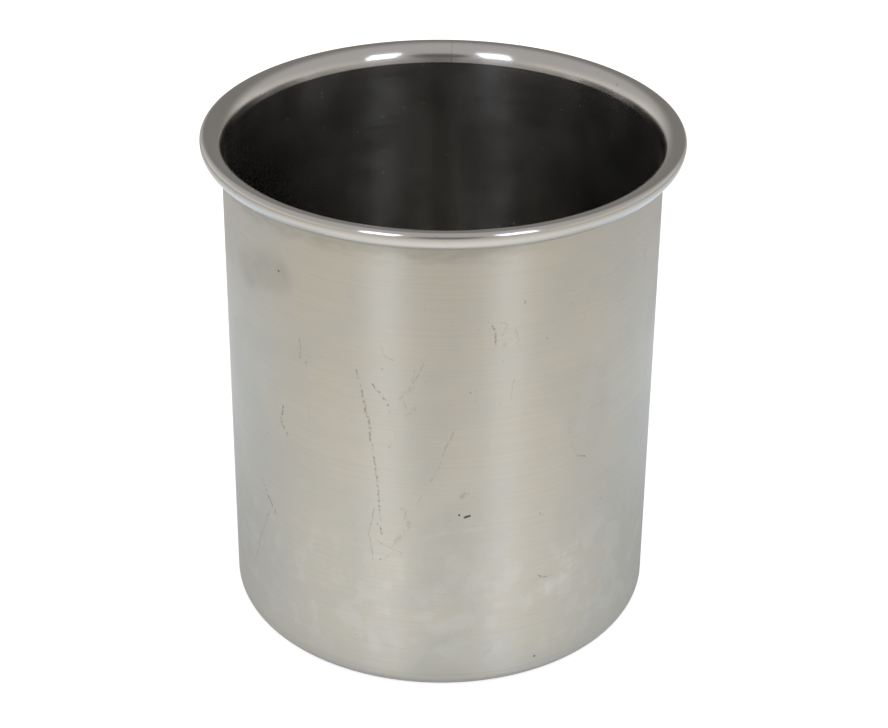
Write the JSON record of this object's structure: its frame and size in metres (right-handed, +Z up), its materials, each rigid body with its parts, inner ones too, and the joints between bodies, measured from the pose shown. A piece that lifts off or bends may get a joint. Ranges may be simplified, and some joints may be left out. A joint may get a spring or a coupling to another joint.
{
  "type": "deep drawn metal cup",
  "caption": "Straight-walled round cup drawn from one sheet of stainless steel, with a flat base, a rounded base corner and a flared mouth rolled over into a curled rim.",
  "frame": {"origin": "centre of the underside of the base, on the surface that the cup stands on", "axes": "+Z up along the cup's axis, out of its mouth; the cup is round, so X and Y are any two level directions"},
  "size_m": [0.1204, 0.1204, 0.132],
  "materials": {
    "steel": "circumferentially polished, lightly scratched"
  },
  "bodies": {
    "root": {"cup": "steel"}
  },
  "joints": []
}
